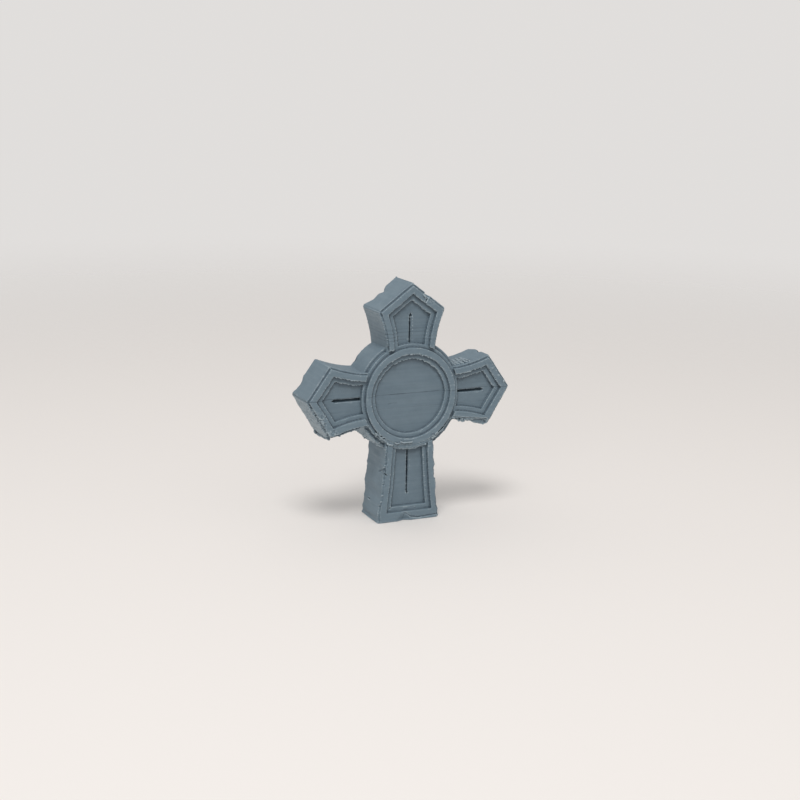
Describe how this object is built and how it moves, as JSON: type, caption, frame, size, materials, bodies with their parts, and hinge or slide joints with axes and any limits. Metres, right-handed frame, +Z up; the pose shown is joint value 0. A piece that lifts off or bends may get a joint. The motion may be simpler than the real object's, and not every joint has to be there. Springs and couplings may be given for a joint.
{
  "type": "cross headstone miniature",
  "caption": "Small upright cross headstone with flared pointed arms, stepped sunk panels with slits and a ringed round boss, standing on its flat foot.",
  "frame": {"origin": "middle of the flat underside of the foot, which is also the middle of the bounding box's underside", "axes": "+Z up to the top arm's tip, carved face towards -Y, +X to the right as seen from the front"},
  "size_m": [0.0458, 0.0088, 0.05],
  "materials": {
    "blue_grey_plastic": "matte blue-grey plastic with fine horizontal print layers"
  },
  "bodies": {
    "root": {"cross_headstone": "blue_grey_plastic"}
  },
  "joints": []
}
